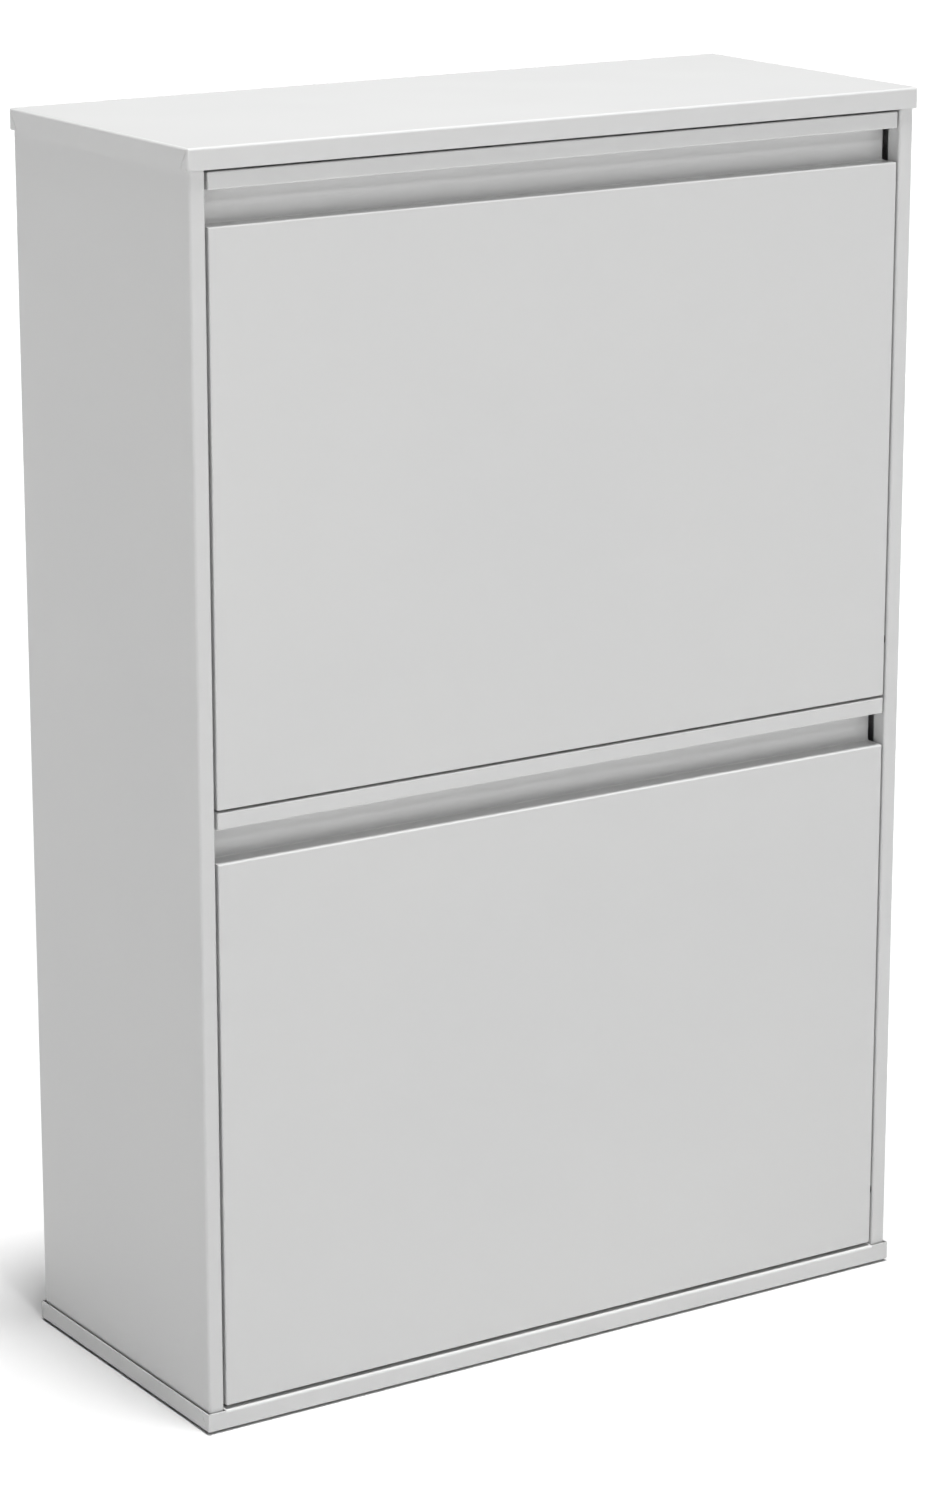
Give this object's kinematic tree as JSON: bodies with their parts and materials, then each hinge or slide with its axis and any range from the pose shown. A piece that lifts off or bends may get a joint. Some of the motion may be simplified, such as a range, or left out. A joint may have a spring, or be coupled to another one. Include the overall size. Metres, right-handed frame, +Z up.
{
  "type": "shoe cabinet",
  "caption": "Narrow steel shoe cabinet with tilting flaps one above the other, each with a finger recess and a tray for rows of shoes.",
  "frame": {"origin": "on the floor, below the middle of the cabinet", "axes": "+X along the doors to the viewer's right, +Y from the doors to the wall, +Z up"},
  "size_m": [0.6, 0.25, 0.9],
  "materials": {
    "powder_coat": "white semi-gloss powder coat with a faint orange peel",
    "zinc": "zinc-plated steel",
    "nylon": "black nylon",
    "rubber": "black rubber"
  },
  "bodies": {
    "carcass": {"lid": "powder_coat", "base": "powder_coat", "back_panel": "powder_coat", "rear_top_rail": "powder_coat", "top_front_rail": "powder_coat", "mid_cross_rail": "powder_coat", "left_side_panel": "powder_coat", "left_upright": "powder_coat", "glide_front_left": "nylon", "glide_nut_front_left": "zinc", "lid_nut_front_left": "zinc", "glide_rear_left": "nylon", "glide_nut_rear_left": "zinc", "lid_nut_rear_left": "zinc", "back_rivet_low_left": "zinc", "back_rivet_high_left": "zinc", "lower_left_pivot_bush": "nylon", "lower_left_stop_pin": "zinc", "lower_left_stop_sleeve": "nylon", "lower_left_bumper": "rubber", "lower_left_rail_screw": "zinc", "upper_left_pivot_bush": "nylon", "upper_left_stop_pin": "zinc", "upper_left_stop_sleeve": "nylon", "upper_left_bumper": "rubber", "upper_left_rail_screw": "zinc", "right_side_panel": "powder_coat", "right_upright": "powder_coat", "glide_front_right": "nylon", "glide_nut_front_right": "zinc", "lid_nut_front_right": "zinc", "glide_rear_right": "nylon", "glide_nut_rear_right": "zinc", "lid_nut_rear_right": "zinc", "back_rivet_low_right": "zinc", "back_rivet_high_right": "zinc", "lower_right_pivot_bush": "nylon", "lower_right_stop_pin": "zinc", "lower_right_stop_sleeve": "nylon", "lower_right_bumper": "rubber", "lower_right_rail_screw": "zinc", "upper_right_pivot_bush": "nylon", "upper_right_stop_pin": "zinc", "upper_right_stop_sleeve": "nylon", "upper_right_bumper": "rubber", "upper_right_rail_screw": "zinc"},
    "lower_flap": {"lower_door": "powder_coat", "lower_shoe_tray": "powder_coat", "lower_divider": "powder_coat", "lower_left_cheek": "powder_coat", "lower_left_pivot_pin": "zinc", "lower_right_cheek": "powder_coat", "lower_right_pivot_pin": "zinc"},
    "upper_flap": {"upper_door": "powder_coat", "upper_shoe_tray": "powder_coat", "upper_divider": "powder_coat", "upper_left_cheek": "powder_coat", "upper_left_pivot_pin": "zinc", "upper_right_cheek": "powder_coat", "upper_right_pivot_pin": "zinc"}
  },
  "joints": [
    {"name": "lower_flap_tilt", "type": "hinge", "parent": "carcass", "child": "lower_flap", "pos_m": [0, -0.115, 0.06], "axis": [1, 0, 0], "range_deg": [0, 48]},
    {"name": "upper_flap_tilt", "type": "hinge", "parent": "carcass", "child": "upper_flap", "pos_m": [0, -0.115, 0.49355], "axis": [1, 0, 0], "range_deg": [0, 48]}
  ]
}
